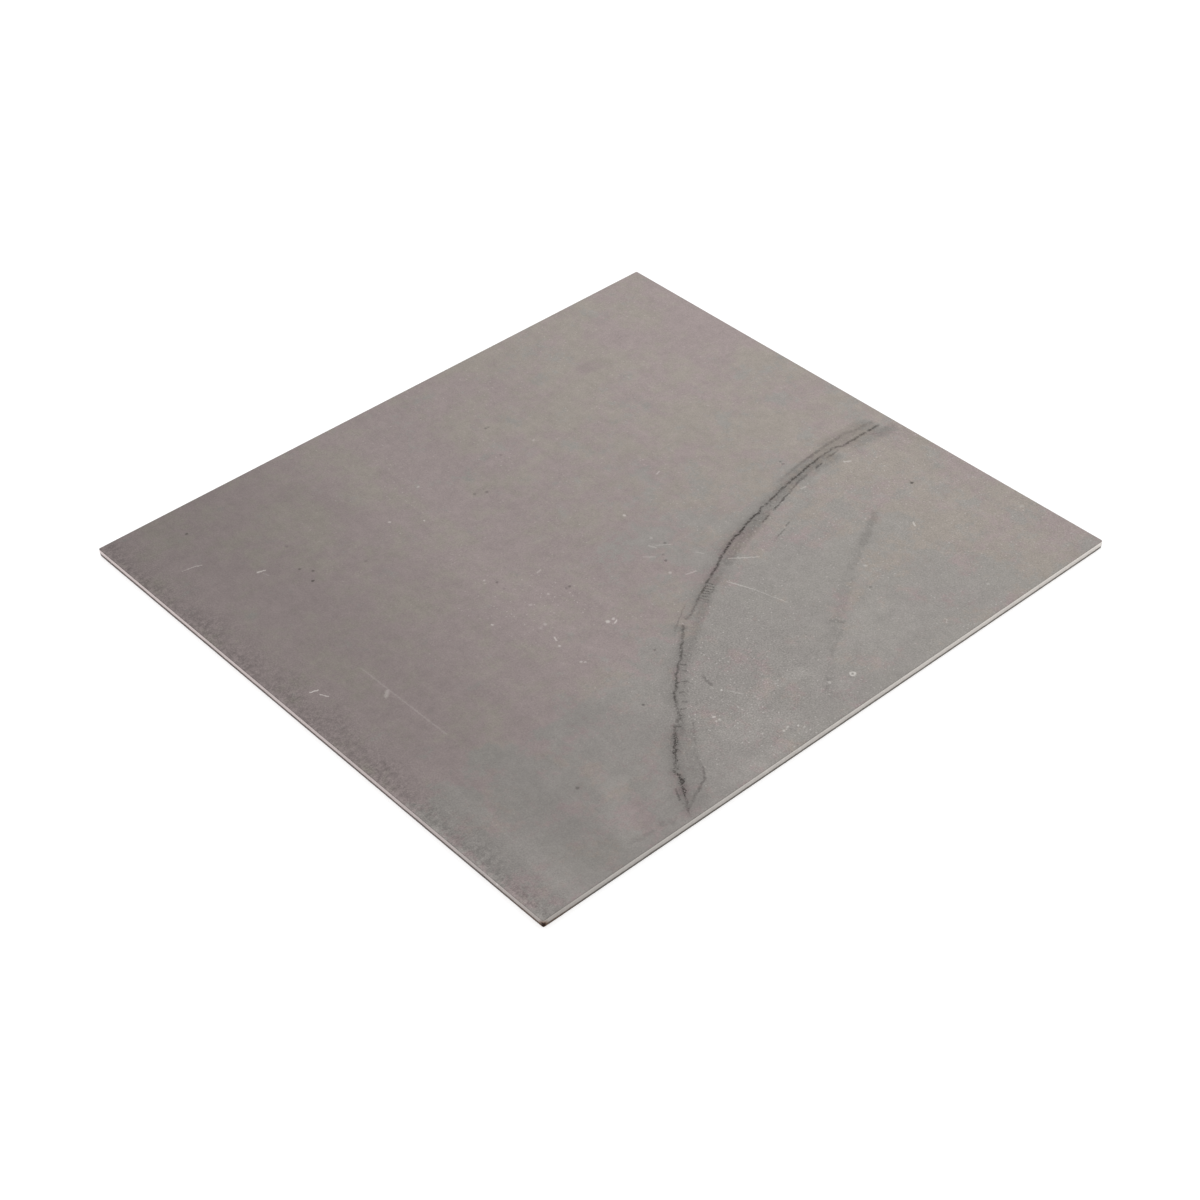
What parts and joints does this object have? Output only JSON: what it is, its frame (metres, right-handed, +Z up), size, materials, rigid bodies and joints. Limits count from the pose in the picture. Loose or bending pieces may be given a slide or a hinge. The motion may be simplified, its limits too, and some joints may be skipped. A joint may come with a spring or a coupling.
{
  "type": "steel plate",
  "caption": "Nearly square blank of thin rolled steel plate with guillotined edges, lying flat, with a stained and scratched mill finish.",
  "frame": {"origin": "middle of the bottom face, on the surface that the plate lies on", "axes": "+X along the longer side, +Y along the shorter side and the rolling direction, +Z up through the thickness, out of the face that the shear blade entered"},
  "size_m": [0.268, 0.25, 0.0032],
  "materials": {
    "mill_steel": "dull warm grey mill finish with faint rolling streaks, water stains and light scratches; bright burnish and dark torn band on the sheared edges"
  },
  "bodies": {
    "root": {"steel_plate": "mill_steel"}
  },
  "joints": []
}
